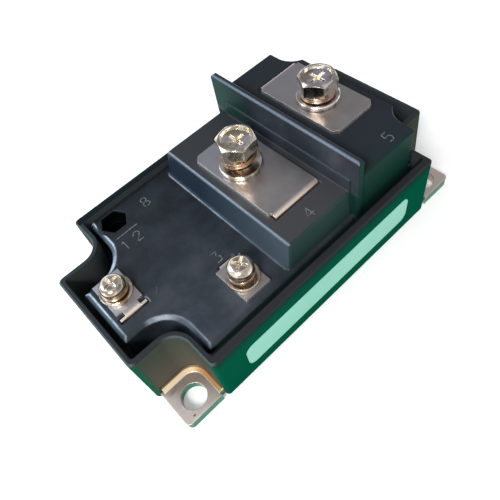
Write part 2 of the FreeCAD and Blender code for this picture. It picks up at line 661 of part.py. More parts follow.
def base_head_z():
    return DECK_Z + CONTROL_T + M4_WASHER_T + BASE_SPRING_FREE


def aux_head_z():
    return DECK_Z + CONTROL_T + M4_WASHER_T + AUX_SPRING_FREE


def emitter_tip():
    return emitter_head_z() - M6_LENGTH


def collector_tip():
    return collector_head_z() - M6_LENGTH


def base_tip():
    return base_head_z() - M4_LENGTH


def aux_tip():
    return aux_head_z() - M4_LENGTH


def cross_recess(r, depth, top):
    """Cross-shaped driver recess that narrows towards its bottom."""
    blade = r * RECESS_BLADE
    wide = [(-r, -blade / 2, 0), (r, -blade / 2, 0), (r, blade / 2, 0), (-r, blade / 2, 0)]
    narrow = [(x * 0.5, y * 0.6, 0) for x, y, corner in wide]
    arm = tapered(narrow, wide, top - depth, top)
    other = arm.copy()
    other.rotate(V(0, 0, 0), V(0, 0, 1), 90)
    return arm.fuse(other)


def hex_bolt(x, y, head_z, turn):
    """Cross-recessed hexagon bolt, its head chamfered and dished inside a thin rim."""
    corner_r = M6_HEAD_AF / math.sqrt(3)
    rim_r = M6_HEAD_AF / 2 - M6_HEAD_CHAMFER / 3
    head = prism(hexagon(M6_HEAD_AF, math.radians(turn)), 0, M6_HEAD_H)
    turned = [(0, 0, 0), (corner_r, 0, 0), (corner_r, M6_HEAD_H - M6_HEAD_CHAMFER, 0),
              (rim_r, M6_HEAD_H, 0), (0, M6_HEAD_H, 0)]
    head = head.common(revolved(turned))
    floor = M6_HEAD_H - M6_DISH_DEPTH
    dish_r = rim_r - M6_RIM_T
    floor_r = dish_r - M6_DISH_SLOPE
    dish = [(0, floor, 0), (floor_r, floor, 0), (dish_r, M6_HEAD_H, 0),
            (dish_r, M6_HEAD_H + 1, 0), (0, M6_HEAD_H + 1, 0)]
    head = head.cut(revolved(dish))
    head = head.cut(cross_recess(floor_r * 0.65, M6_HEAD_H / 2, floor))
    shank = [(0, -M6_LENGTH, 0), (M6_R - 0.6, -M6_LENGTH, 0), (M6_R, 0.6 - M6_LENGTH, 0),
             (M6_R, 0, 0), (0, 0, 0)]
    bolt = head.fuse(revolved(shank))
    bolt.translate(V(x, y, head_z))
    return one_solid(bolt)


def revolved(corners):
    """Body of revolution about Z from corners given as (radius, height, rounding)."""
    face = Part.Face(rounded_wire(corners))
    face.rotate(V(0, 0, 0), V(1, 0, 0), 90)
    return face.revolve(V(0, 0, 0), V(0, 0, 1), 360)


def pan_screw(x, y, head_z, turn):
    """Pan-head screw with a domed head and a cross recess."""
    profile = [(0, 0, 0), (M4_HEAD_R, 0, 0), (M4_HEAD_R, M4_HEAD_H, M4_HEAD_ROUND),
               (0, M4_HEAD_H, 0)]
    head = revolved(profile)
    recess = cross_recess(M4_HEAD_R * 0.62, M4_HEAD_H * 0.6, M4_HEAD_H)
    recess.rotate(V(0, 0, 0), V(0, 0, 1), turn)
    shank = [(0, -M4_LENGTH, 0), (M4_R - 0.4, -M4_LENGTH, 0), (M4_R, 0.4 - M4_LENGTH, 0),
             (M4_R, 0, 0), (0, 0, 0)]
    screw = head.cut(recess).fuse(revolved(shank))
    screw.translate(V(x, y, head_z))
    return one_solid(screw)


def flat_washer(x, y, z, outer_r, bolt_r, t):
    hole = bolt_r + HOLE_CLEARANCE
    edge = t * 0.2
    ring = revolved([(hole, 0, 0), (outer_r - edge, 0, 0), (outer_r, edge, 0),
                     (outer_r, t - edge, 0), (outer_r - edge, t, 0), (hole, t, 0)])
    ring.translate(V(x, y, z))
    return ring.Solids[0]


def spring_washer(x, y, z, outer_r, bolt_r, t, free_height, turn):
    """Split spring washer: one turn of a square section that climbs to its free height."""
    hole = bolt_r + HOLE_CLEARANCE
    gap_angle = 14.0
    climb = free_height - t
    pitch = climb * 360 / (360 - gap_angle)
    middle_r = (hole + outer_r) / 2
    path = Part.makeHelix(pitch, climb, middle_r)
    half = (outer_r - hole) / 2
    section = Part.makePolygon([V(middle_r - half, 0, 0), V(middle_r + half, 0, 0),
                                V(middle_r + half, 0, t), V(middle_r - half, 0, t),
                                V(middle_r - half, 0, 0)])
    ring = Part.Wire(path.Edges).makePipeShell([section], True, True)
    ring.rotate(V(0, 0, 0), V(0, 0, 1), turn)
    ring.translate(V(x, y, z))
    return ring.Solids[0]


def hex_nut(x, y, top_z, af, bolt_r, height):
    """Hexagon nut chamfered on its upper face, with a plain bore."""
    corner_r = af / math.sqrt(3)
    flat_r = af / 2
    chamfer = (corner_r - flat_r) * 0.6
    turned = [(0, 0, 0), (corner_r, 0, 0), (corner_r, height - chamfer, 0),
              (flat_r, height, 0), (0, height, 0)]
    nut = prism(hexagon(af), 0, height).common(revolved(turned))
    nut = nut.cut(cylinder(0, 0, bolt_r + THREAD_CLEARANCE, -1, height + 1))
    nut.translate(V(x, y, top_z - height))
    return one_solid(nut)


def tracks():
    """Copper areas on the ceramic: collector, emitter, base and auxiliary."""
    edge_x = CERAMIC_HALF_X - CERAMIC_MARGIN
    edge_y = CERAMIC_HALF_Y - CERAMIC_MARGIN
    base_x = BASE_SCREW[0] + CONTROL_WIDTH / 2
    split = split_y()
    aux_x = auxiliary_track_edge()
    return {
        "base_track": prism(rectangle(-edge_x, base_x, -edge_y, split, 0.5),
                            TRACK_Z, TRACK_TOP),
        "emitter_track": prism(rectangle(base_x + TRACK_GAP, edge_x, -edge_y, split, 0.5),
                               TRACK_Z, TRACK_TOP),
        "auxiliary_track": prism(rectangle(-edge_x, aux_x, split + TRACK_GAP, edge_y, 0.5),
                                 TRACK_Z, TRACK_TOP),
        "collector_track": prism(rectangle(aux_x + TRACK_GAP, edge_x, split + TRACK_GAP,
                                           edge_y, 0.5), TRACK_Z, TRACK_TOP),
    }


def split_y():
    """Line between the emitter and base tracks and the two tracks behind them."""
    return BASE_BEND_Y + CONTROL_T + CERAMIC_MARGIN / 2


def auxiliary_track_edge():
    return AUX_FOOT_X + CONTROL_TONGUE / 2 + CERAMIC_MARGIN


def die(x, y, side):
    return box(x - side / 2, x + side / 2, y - side / 2, y + side / 2, TRACK_TOP, DIE_TOP)


def dies():
    """Silicon dice on the collector track: driver, two output dice and two diodes."""
    row_y = split_y() + TRACK_GAP + CERAMIC_MARGIN
    driver_x = auxiliary_track_edge() + TRACK_GAP + CERAMIC_MARGIN + DRIVER_DIE / 2
    power_x = driver_x + DRIVER_DIE / 2 + DIE_GAP + POWER_DIE / 2
    second_x = power_x + POWER_DIE + DIE_GAP
    diode_x = second_x + POWER_DIE / 2 + DIE_GAP + DIODE_DIE / 2
    return {
        "driver_transistor_die": (driver_x, row_y + DRIVER_DIE / 2, DRIVER_DIE),
        "speed_up_diode_die": (driver_x, row_y + DRIVER_DIE + DIE_GAP + SMALL_DIE / 2, SMALL_DIE),
        "output_transistor_die_1": (power_x, row_y + POWER_DIE / 2, POWER_DIE),
        "output_transistor_die_2": (second_x, row_y + POWER_DIE / 2, POWER_DIE),
        "freewheel_diode_die": (diode_x, row_y + DIODE_DIE / 2, DIODE_DIE),
    }


def bond_wire(start, end):
    """Aluminium wire, drawn square, that arches between two contacts and ends flat."""
    x0, y0, z0 = start
    x1, y1, z1 = end
    w = BOND_WIRE_R
    span = math.hypot(x1 - x0, y1 - y0)
    crest = V(span / 2, 0, max(z0, z1) + BOND_RISE * span)
    through = [V(0, 0, z0 - w), crest, V(span, 0, z1 - w)]
    circle = Part.Arc(*through).toShape().Curve
    outer = [circle.Center + (p - circle.Center) * (1 + w / circle.Radius) for p in through]
    inner = [circle.Center + (p - circle.Center) * (1 - w / circle.Radius) for p in through]
    inner.reverse()
    outline = Part.Wire([Part.Arc(*outer).toShape(), Part.LineSegment(outer[2], inner[0]).toShape(),
                         Part.Arc(*inner).toShape(), Part.LineSegment(inner[2], outer[0]).toShape()])
    wire = Part.Face(outline).extrude(V(0, 2 * w, 0))
    wire.translate(V(0, -w, 0))
    beyond = 4 * w
    wire = wire.cut(box(-beyond, span / 2, -beyond, beyond, z0 - beyond, z0))
    wire = wire.cut(box(span / 2, span + beyond, -beyond, beyond, z1 - beyond, z1))
    wire.rotate(V(0, 0, 0), V(0, 0, 1), math.degrees(math.atan2(y1 - y0, x1 - x0)))
    wire.translate(V(x0, y0, 0))
    return wire.Solids[0]


def output_wires(layout):
    """Rows of wires from the output dice and the diode to the emitter track."""
    wires = []
    track_y = split_y() - BOND_LANDING
    for name in ("output_transistor_die_1", "output_transistor_die_2", "freewheel_diode_die"):
        x, y, side = layout[name]
        pitch = side / (BOND_WIRES_PER_DIE + 1)
        for i in range(BOND_WIRES_PER_DIE):
            wire_x = x - side / 2 + pitch * (i + 1)
            start = (wire_x, y - side / 4, DIE_TOP)
            wires.append(bond_wire(start, (wire_x, track_y, TRACK_TOP)))
    return Part.makeCompound(wires)


def control_wires(layout):
    """Pairs of wires from the base and auxiliary tracks to the driver die."""
    x, y, side = layout["driver_transistor_die"]
    track_y = split_y() - BOND_LANDING
    columns = [x + side / 2 - (i + 1) * BOND_LANDING for i in range(2)]
    base = [bond_wire((wire_x, y - side / 4, DIE_TOP), (wire_x, track_y, TRACK_TOP))
            for wire_x in columns]
    aux_x = auxiliary_track_edge() - BOND_LANDING
    rows = [y + side / 4 + i * BOND_LANDING for i in range(2)]
    auxiliary = [bond_wire((x - side / 4, wire_y, DIE_TOP), (aux_x, wire_y, TRACK_TOP))
                 for wire_y in rows]
    return Part.makeCompound(base), Part.makeCompound(auxiliary)


def driver_wires(layout):
    """Wires from the driver die across to the first output die."""
    x, y, side = layout["driver_transistor_die"]
    next_x, next_y, next_side = layout["output_transistor_die_1"]
    return Part.makeCompound([
        bond_wire((x + side / 4, y + i * BOND_LANDING, DIE_TOP),
                  (next_x - next_side / 2 + BOND_LANDING, y + i * BOND_LANDING, DIE_TOP))
        for i in range(1, 3)])


def silicone_gel(inner):
    """Soft fill over the circuit, up to a level inside the case."""
    gel = prism(cavity_outline(), PAD_TOP, GEL_TOP)
    for shape in inner:
        for solid in shape.Solids:
            gel = gel.cut(solid)
    return gel.Solids[0]


def circuit():
    """Everything soldered or bonded on the base plate."""
    plate = rectangle(-CERAMIC_HALF_X, CERAMIC_HALF_X, -CERAMIC_HALF_Y, CERAMIC_HALF_Y, 1.0)
    back = rectangle(CERAMIC_MARGIN - CERAMIC_HALF_X, CERAMIC_HALF_X - CERAMIC_MARGIN,
                     CERAMIC_MARGIN - CERAMIC_HALF_Y, CERAMIC_HALF_Y - CERAMIC_MARGIN, 0.5)
    nodes = {
        "substrate_copper": prism(back, PAD_TOP, CERAMIC_Z),
        "ceramic_substrate": prism(plate, CERAMIC_Z, TRACK_Z),
    }
    nodes.update(tracks())
    layout = dies()
    for name, (x, y, side) in layout.items():
        nodes[name] = die(x, y, side)
    base, auxiliary = control_wires(layout)
    nodes["output_bond_wires"] = output_wires(layout)
    nodes["base_bond_wires"] = base
    nodes["auxiliary_bond_wires"] = auxiliary
    nodes["driver_bond_wires"] = driver_wires(layout)
    return nodes


def terminals():
    """The four leads with their legs."""
    leg_limit = CERAMIC_HALF_X - CERAMIC_MARGIN
    return {
        "emitter_terminal": main_terminal(EMITTER_PLATE_X, EMITTER_RELIEFS, EMITTER_FREE_Y,
                                          EMITTER_BEND_Y, EMITTER_DECK_Z + MAIN_T,
                                          EMITTER_BOLT, EMITTER_CORNER, leg_limit),
        "collector_terminal": main_terminal(COLLECTOR_PLATE_X, COLLECTOR_RELIEFS,
                                            COLLECTOR_FREE_Y, COLLECTOR_BEND_Y,
                                            COLLECTOR_DECK_Z + MAIN_T, COLLECTOR_BOLT,
                                            COLLECTOR_CORNER, leg_limit),
        "base_terminal": control_terminal(BASE_SCREW, 1, BASE_TONGUE_REACH, False, None),
        "auxiliary_terminal": control_terminal(AUX_SCREW, -1, AUX_TONGUE_REACH, True,
                                               AUX_FOOT_X),
    }


def main_fasteners(name, axis, deck_z, free_height, turn):
    """Bolt, spring washer, flat washer and nut of one main terminal."""
    x, y = axis
    washer_z = deck_z + MAIN_T
    spring_z = washer_z + M6_WASHER_T
    return {
        name + "_bolt": hex_bolt(x, y, spring_z + free_height, turn),
        name + "_spring_washer": spring_washer(x, y, spring_z, M6_SPRING_R, M6_R,
                                               M6_SPRING_T, free_height, turn),
        name + "_flat_washer": flat_washer(x, y, washer_z, M6_WASHER_R, M6_R, M6_WASHER_T),
        name + "_nut": hex_nut(x, y, deck_z - POCKET_CLEARANCE, M6_NUT_AF, M6_R, M6_NUT_H),
    }


def control_fasteners(name, axis, free_height, turn):
    """Pan-head screw, spring washer, flat washer and nut of one control terminal."""
    x, y = axis
    washer_z = DECK_Z + CONTROL_T
    spring_z = washer_z + M4_WASHER_T
    return {
        name + "_screw": pan_screw(x, y, spring_z + free_height, turn),
        name + "_spring_washer": spring_washer(x, y, spring_z, M4_SPRING_R, M4_R,
                                               M4_SPRING_T, free_height, turn),
        name + "_flat_washer": flat_washer(x, y, washer_z, M4_WASHER_R, M4_R, M4_WASHER_T),
        name + "_nut": hex_nut(x, y, DECK_Z - POCKET_CLEARANCE, M4_NUT_AF, M4_R, M4_NUT_H),
    }


def build():
    leads = terminals()
    inside = circuit()
    nodes = {
        "base_plate": base_plate(),
        "case_frame": case_frame(),
        "terminal_cover": terminal_cover(),
        "side_label": label_solid(),
        "silicone_gel": silicone_gel(list(inside.values()) + list(leads.values())),
    }
    nodes.update(leads)
    nodes.update(inside)
    nodes.update(main_fasteners("emitter", EMITTER_BOLT, EMITTER_DECK_Z,
                                EMITTER_SPRING_FREE, EMITTER_HEAD_TURN))
    nodes.update(main_fasteners("collector", COLLECTOR_BOLT, COLLECTOR_DECK_Z,
                                COLLECTOR_SPRING_FREE, COLLECTOR_HEAD_TURN))
    nodes.update(control_fasteners("base", BASE_SCREW, BASE_SPRING_FREE, BASE_HEAD_TURN))
    nodes.update(control_fasteners("auxiliary", AUX_SCREW, AUX_SPRING_FREE, AUX_HEAD_TURN))
    return nodes


os.makedirs("parts", exist_ok=True)
for name, shape in build().items():
    shape.exportStep("parts/" + name + ".step")
    print(name, len(shape.Solids), round(shape.Volume, 2), shape.isValid())
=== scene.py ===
import math

import bmesh
import bpy
from mathutils import Matrix, Vector


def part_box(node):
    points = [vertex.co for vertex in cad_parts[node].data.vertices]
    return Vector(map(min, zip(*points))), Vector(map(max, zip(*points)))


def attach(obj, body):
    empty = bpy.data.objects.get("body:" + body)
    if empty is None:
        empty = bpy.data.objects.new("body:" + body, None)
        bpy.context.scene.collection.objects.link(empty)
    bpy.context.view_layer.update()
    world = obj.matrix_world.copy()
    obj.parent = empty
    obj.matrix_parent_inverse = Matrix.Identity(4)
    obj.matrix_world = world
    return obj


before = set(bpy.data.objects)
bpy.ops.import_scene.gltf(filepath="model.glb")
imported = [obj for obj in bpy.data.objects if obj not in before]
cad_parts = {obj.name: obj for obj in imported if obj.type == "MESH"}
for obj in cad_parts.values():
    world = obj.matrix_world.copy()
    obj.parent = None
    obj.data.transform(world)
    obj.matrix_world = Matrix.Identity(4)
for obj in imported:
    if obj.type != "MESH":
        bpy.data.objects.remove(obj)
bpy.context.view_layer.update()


# Base plate: one stamped copper plate with a satin nickel finish, warm grey. It has four
# tabs with screw holes and a raised step under the case, where the plating wears to copper.
# Its right edge has a painted highlight and its right side faces a painted green reflection,
# and the copper step carries painted light and shade by its facing.
class Wiring:
    """The short calls that join up the nodes of one tree."""

    def __init__(self, tree):
        self.nodes = tree.nodes
        self.links = tree.links

    def node(self, kind, **values):
        made = self.nodes.new(kind)
        for key, value in values.items():
            setattr(made, key, value)
        return made

    def feed(self, socket, value):
        """Gives a socket another node's output, or a colour, a vector or a number."""
        if isinstance(value, bpy.types.NodeSocket):
            self.links.new(value, socket)
        elif socket.type == "RGBA":
            socket.default_value = (*value, 1.0)
        else:
            socket.default_value = value

    def remap(self, value, low, high, to_low=0.0, to_high=1.0):
        made = self.node("ShaderNodeMapRange")
        for name, amount in (("Value", value), ("From Min", low), ("From Max", high),
                             ("To Min", to_low), ("To Max", to_high)):
            self.feed(made.inputs[name], amount)
        return made.outputs["Result"]

    def level(self, mask, off, on):
        """One number where a mask is nought and another where it is one."""
        return self.remap(mask, 0.0, 1.0, off, on)

    def blend(self, fac, first, second, kind="RGBA"):
        made = self.node("ShaderNodeMix", data_type=kind)
        for name, value in (("Factor", fac), ("A", first), ("B", second)):
            self.feed(made.inputs[name], value)
        return made.outputs["Result"]

    def combine(self, operation, first, *others):
        """Adds, multiplies or compares values, one after the other."""
        for other in others:
            made = self.node("ShaderNodeMath", operation=operation)
            self.feed(made.inputs[0], first)
            self.feed(made.inputs[1], other)
            first = made.outputs["Value"]
        return first

    def product(self, *values):
        return self.combine("MULTIPLY", *values)

    def without_sign(self, value):
        return self.combine("ABSOLUTE", value, 0.0)

    def vector(self, operation, first, second=(0.0, 0.0, 0.0)):
        """One step with vectors: only a product of two gives a vector again."""
        made = self.node("ShaderNodeVectorMath", operation=operation)
        self.feed(made.inputs[0], first)
        self.feed(made.inputs[1], second)
        return made.outputs["Vector" if operation == "MULTIPLY" else "Value"]

    def flattened(self, place):
        return self.vector("MULTIPLY", place, (1.0, 1.0, 0.0))

    def split(self, vector):
        made = self.node("ShaderNodeSeparateXYZ")
        self.links.new(vector, made.inputs["Vector"])
        return made.outputs


class Finish(Wiring):
    """A material, with the place and the facing of each point for its masks."""

    def __init__(self, name, metallic=0.0, specular=0.5):
        self.material = bpy.data.materials.new(name)
        self.material.use_nodes = True
        super().__init__(self.material.node_tree)
        self.shader = self.nodes["Principled BSDF"]
        self.shader.inputs["Metallic"].default_value = metallic
        self.shader.inputs["Specular IOR Level"].default_value = specular
        self.place = self.node("ShaderNodeTexCoord").outputs["Object"]
        self.facing = self.node("ShaderNodeNewGeometry").outputs["Normal"]

    def mapped(self, **amounts):
        """The place of each point after a shift or a stretch."""
        made = self.node("ShaderNodeMapping")
        for name, amount in amounts.items():
            made.inputs[name.title()].default_value = amount
        self.links.new(self.place, made.inputs["Vector"])
        return made.outputs["Vector"]

    def noise(self, scale, detail, rough=0.55, place=None):
        made = self.node("ShaderNodeTexNoise")
        for name, amount in (("Scale", scale), ("Detail", detail), ("Roughness", rough),
                             ("Vector", place or self.place)):
            self.feed(made.inputs[name], amount)
        return made.outputs["Fac"]

    def colour(self, value):
        self.links.new(value, self.shader.inputs["Base Color"])

    def roughness(self, value):
        self.links.new(value, self.shader.inputs["Roughness"])

    def specular(self, value):
        self.links.new(value, self.shader.inputs["Specular IOR Level"])

    def rounded(self, radius):
        """The facing of each point, had the sharp edges been rounded off."""
        made = self.node("ShaderNodeBevel", samples=6)
        made.inputs["Radius"].default_value = radius
        return made.outputs["Normal"]

    def eased(self, radius):
        """Rounds sharp edges in the shading, as a deburred edge is."""
        normal = self.rounded(radius)
        self.links.new(normal, self.shader.inputs["Normal"])
        return normal

    def bump(self, height, distance, strength=1.0):
        made = self.node("ShaderNodeBump")
        made.inputs["Distance"].default_value = distance
        made.inputs["Strength"].default_value = strength
        self.links.new(height, made.inputs["Height"])
        previous = self.shader.inputs["Normal"]
        if previous.is_linked:
            self.links.new(previous.links[0].from_socket, made.inputs["Normal"])
        self.links.new(made.outputs["Normal"], self.shader.inputs["Normal"])


def dress(finish, *node_names):
    """Gives CAD nodes their finish, in every slot."""
    for node_name in node_names:
        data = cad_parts[node_name].data
        if not data.materials:
            data.materials.append(finish.material)
        for i in range(len(data.materials)):
            data.materials[i] = finish.material


plate_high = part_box("base_plate")[1]
STEP_RISE = 0.0014
PLATE_TOP = plate_high[2] - STEP_RISE
COPPER_TOP = PLATE_TOP + 0.00105
TAB_HALF_Y = plate_high[1]
NICK = (-0.0500, -0.0294, PLATE_TOP)
plate = Finish("plate_nickel", metallic=1.0)
cloud = plate.noise(90.0, 5.0)
grain = plate.noise(1.0, 3.0, 0.6, plate.mapped(scale=(260.0, 2400.0, 900.0)))
position = plate.split(plate.place)
normal = plate.split(plate.facing)

nickel = plate.blend(plate.remap(cloud, 0.35, 0.68), (0.82, 0.72, 0.72), (0.94, 0.86, 0.87))
pits = plate.remap(plate.noise(300.0, 2.0, 0.4), 0.73, 0.76)
nickel = plate.blend(pits, nickel, (0.24, 0.15, 0.13))
# Painted highlight: a pale cream strip along the top of the plate's right edge.
right_edge_highlight = plate.remap(position["Y"], 0.0006 - TAB_HALF_Y, 0.0003 - TAB_HALF_Y, 0.0, 0.8)
nickel = plate.blend(right_edge_highlight, nickel, (1.0, 0.95, 0.86))
# Side faces take a greyer tone, and those facing right a painted green reflection.
side_tone_and_green_reflection = plate.blend(plate.remap(normal["Y"], -0.2, -0.7), (0.56, 0.50, 0.46), (0.035, 0.19, 0.12))
nickel = plate.blend(plate.remap(normal["Z"], 0.5, 0.3), nickel, side_tone_and_green_reflection)
ragged = plate.remap(grain, 0.3, 0.7, 0.0, 0.0005)
from_nick = plate.combine("ADD", plate.vector("DISTANCE", plate.place, NICK), ragged)
nickel = plate.blend(plate.remap(from_nick, 0.0007, 0.0004), nickel, (0.10, 0.04, 0.03))

# Painted light on the copper step: a pale cream painted highlight on faces turned to the far right,
# deep orange as painted shade on faces turned away.
copper_highlight_facing = plate.remap(plate.vector("DOT_PRODUCT", plate.facing, (-0.8, 0.6, 0.0)), 0.35, -0.45)
copper = plate.blend(copper_highlight_facing, (0.56, 0.31, 0.12), (0.96, 0.78, 0.49))
above_copper = plate.remap(position["Z"], COPPER_TOP - 0.0001, COPPER_TOP + 0.0001)
copper = plate.blend(above_copper, copper, (0.16, 0.13, 0.09))
step = plate.remap(position["Z"], PLATE_TOP - 0.00005, PLATE_TOP + 0.00015)
plate.colour(plate.blend(step, nickel, copper))
plate.roughness(plate.remap(grain, 0.25, 0.8, 0.30, 0.52))
plate.eased(0.00025)
plate.bump(grain, 0.00002, 0.6)
plate.bump(cloud, 0.00008, 0.4)
dress(plate, "base_plate")


# Circuit: alumina ceramic between etched copper areas, soldered on the plate. The silicon
# dice, the aluminium bond wires and the soft clear gel over them stay hidden in the case.
def mottled_finish(name, scale, detail, tints, gloss, relief, metallic=0.0):
    """Two close tints, whose mottle also shows in the gloss and the relief."""
    finish = Finish(name, metallic)
    mottle = finish.noise(scale, detail)
    finish.colour(finish.blend(mottle, *tints))
    finish.roughness(finish.remap(mottle, 0.3, 0.7, *gloss))
    finish.bump(mottle, relief)
    return finish


alumina = mottled_finish("alumina", 1800.0, 3.0, ((0.80, 0.80, 0.76), (0.92, 0.92, 0.90)),
                         (0.45, 0.60), 0.00001)
dress(alumina, "ceramic_substrate")

etched_copper = mottled_finish("etched_copper", 220.0, 5.0, ((0.72, 0.34, 0.20), (0.92, 0.58, 0.40)),
                               (0.28, 0.45), 0.00001, metallic=1.0)
dress(etched_copper, "substrate_copper", "collector_track", "emitter_track", "base_track",
      "auxiliary_track")

silicon = mottled_finish("metallised_silicon", 700.0, 4.0, ((0.42, 0.43, 0.46), (0.62, 0.62, 0.64)),
                         (0.15, 0.30), 0.000004, metallic=1.0)
dress(silicon, "driver_transistor_die", "speed_up_diode_die", "output_transistor_die_1",
      "output_transistor_die_2", "freewheel_diode_die")

aluminium = mottled_finish("bond_aluminium", 1500.0, 2.0, ((0.78, 0.78, 0.79), (0.90, 0.90, 0.90)),
                           (0.25, 0.40), 0.000005, metallic=1.0)
dress(aluminium, "output_bond_wires", "base_bond_wires", "auxiliary_bond_wires", "driver_bond_wires")

gel = mottled_finish("silicone", 120.0, 3.0, ((0.80, 0.82, 0.79), (0.90, 0.91, 0.89)),
                     (0.12, 0.25), 0.00005)
gel.shader.inputs["Transmission Weight"].default_value = 0.7
gel.shader.inputs["IOR"].default_value = 1.41
dress(gel, "silicone_gel")


# Case frame: moulded glass-filled plastic glued round the plate, with the fine grain of a
# spark-etched mould. Its outer walls carry a painted green reflection and, in the notches, a
# painted olive reflection. Its rim and the moat inside it are dark slate, with painted shade
# and a painted highlight on the rim.
CASE_HALF_X, CASE_HALF_Y, RIM_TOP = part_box("case_frame")[1]
RIM_INNER_Y = CASE_HALF_Y - 0.0027
NOTCH_X = 0.0401
NOTCH_Y = 0.0170
casing = Finish("case_moulding")
grain = casing.noise(3200.0, 2.0)
cloud = casing.noise(70.0, 4.0)
position = casing.split(casing.place)
normal = casing.split(casing.facing)
far_x = casing.without_sign(position["X"])
far_y = casing.without_sign(position["Y"])

# Painted reflections: green on the outer walls, darker near the top, and olive in the notches,
# lighter towards the bottom.
green_reflection = casing.blend(cloud, (0.001, 0.074, 0.040), (0.002, 0.096, 0.053))
dark_green_reflection = casing.blend(cloud, (0.006, 0.036, 0.026), (0.010, 0.050, 0.036))
low_wall = casing.remap(position["Z"], RIM_TOP - 0.0006, RIM_TOP - 0.0047)
wall = casing.blend(low_wall, dark_green_reflection, green_reflection)
scooped = casing.product(casing.remap(far_x, NOTCH_X - 0.0004, NOTCH_X),
                         casing.remap(far_y, NOTCH_Y - 0.0004, NOTCH_Y),
                         casing.remap(normal["Z"], 0.35, 0.3))
olive_reflection = casing.blend(casing.remap(position["Z"], 0.004, 0.019),
                     (0.115, 0.100, 0.077), (0.055, 0.066, 0.050))
reach_y = casing.combine("ADD", far_y, CASE_HALF_X - CASE_HALF_Y)
to_corner = casing.remap(casing.combine("MAXIMUM", far_x, reach_y),
                         CASE_HALF_X - 0.0025, CASE_HALF_X - 0.0004)
olive_reflection = casing.blend(to_corner, olive_reflection, green_reflection)
wall = casing.blend(scooped, wall, olive_reflection)
moat = casing.blend(cloud, (0.040, 0.048, 0.050), (0.055, 0.064, 0.066))
outward = casing.remap(casing.vector("DOT_PRODUCT", casing.facing, casing.place), 0.012, 0.016)
wall = casing.blend(outward, moat, wall)

across = casing.remap(position["Y"], -0.030, 0.024)
rim = casing.blend(across, (0.022, 0.022, 0.025), (0.022, 0.034, 0.040))
# Painted shade darkens the whole left rim, and a painted green reflection runs along its outer edge.
left_rim_shade = casing.remap(position["Y"], RIM_INNER_Y - 0.0003, RIM_INNER_Y)
left_edge_green_reflection = casing.remap(position["Y"], CASE_HALF_Y - 0.0014, CASE_HALF_Y - 0.0010)
# Painted shade: a near-black strip along the inner side of the right rim, beside the moat.
right_inner_shade = casing.product(casing.remap(position["Y"], 0.0020 - CASE_HALF_Y, 0.0022 - CASE_HALF_Y),
                             casing.remap(position["Y"], 0.0005 - RIM_INNER_Y, 0.0003 - RIM_INNER_Y),
                             casing.remap(far_x, NOTCH_X - 0.0013, NOTCH_X - 0.0017))
# Painted highlight: a paler line on the rim's rounded edge where it faces the near end.
crown_highlight = casing.product(casing.remap(normal["Z"], 0.92, 0.85), casing.remap(normal["X"], 0.0, -0.4))
for mask, tint in ((left_rim_shade, (0.008, 0.012, 0.015)), (left_edge_green_reflection, (0.004, 0.018, 0.015)),
                   (right_inner_shade, (0.004, 0.006, 0.007)), (crown_highlight, (0.055, 0.075, 0.076))):
    rim = casing.blend(mask, rim, tint)

on_rim = casing.product(casing.remap(normal["Z"], 0.35, 0.6),
                        casing.remap(position["Z"], RIM_TOP - 0.001, RIM_TOP - 0.0005))
casing.colour(casing.blend(on_rim, wall, rim))
casing.roughness(casing.remap(grain, 0.3, 0.7, 0.42, 0.58))
darkened = casing.combine("MAXIMUM", left_rim_shade, right_inner_shade)
casing.specular(casing.product(on_rim, casing.level(darkened, 0.16, 0.05)))
casing.eased(0.0003)
casing.bump(grain, 0.00002, 0.7)
casing.bump(cloud, 0.00010, 0.3)
dress(casing, "case_frame")


# Terminal cover: one stepped moulding of dark slate plastic, bonded inside the case. Its
# spark-etched skin is dull on the decks, with painted highlights on edges that face the near
# end, painted green reflections on its side faces and painted shade in the empty pocket.
MAIN_PLATE = 0.0010
CONTROL_PLATE = 0.0008
DECK_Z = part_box("base_terminal")[1][2] - CONTROL_PLATE
EMITTER_DECK_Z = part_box("emitter_terminal")[1][2] - MAIN_PLATE
COLLECTOR_DECK_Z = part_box("collector_terminal")[1][2] - MAIN_PLATE
WALL_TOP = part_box("terminal_cover")[1][2]
WALL_FAR_X = 0.0156
POCKET = (-0.0319, 0.0233, 0.0)
POCKET_REACH = 0.0052
cover = Finish("cover_moulding")
grain = cover.noise(3600.0, 2.0)
cloud = cover.noise(60.0, 4.0)
dust = cover.noise(900.0, 6.0, 0.75)
mottle = cover.remap(cover.noise(85.0, 6.0, 0.62), 0.40, 0.60)
# Noise that breaks up the painted crest highlight.
crest_breakup = cover.remap(cover.noise(260.0, 5.0, 0.6), 0.35, 0.60, 0.35, 1.0)
position = cover.split(cover.place)
normal = cover.split(cover.facing)
edge_normal = cover.split(cover.eased(0.0007))

slate = cover.blend(mottle, (0.010, 0.014, 0.017), (0.020, 0.025, 0.034))
# The slate turns paler and bluer towards the near right.
near_right_tone = cover.blend(mottle, (0.027, 0.034, 0.045), (0.051, 0.056, 0.071))
toward_near_right = cover.product(cover.remap(position["Y"], 0.014, -0.018),
                         cover.remap(position["X"], -0.009, -0.024, 0.45, 1.0))
slate = cover.blend(toward_near_right, slate, near_right_tone)

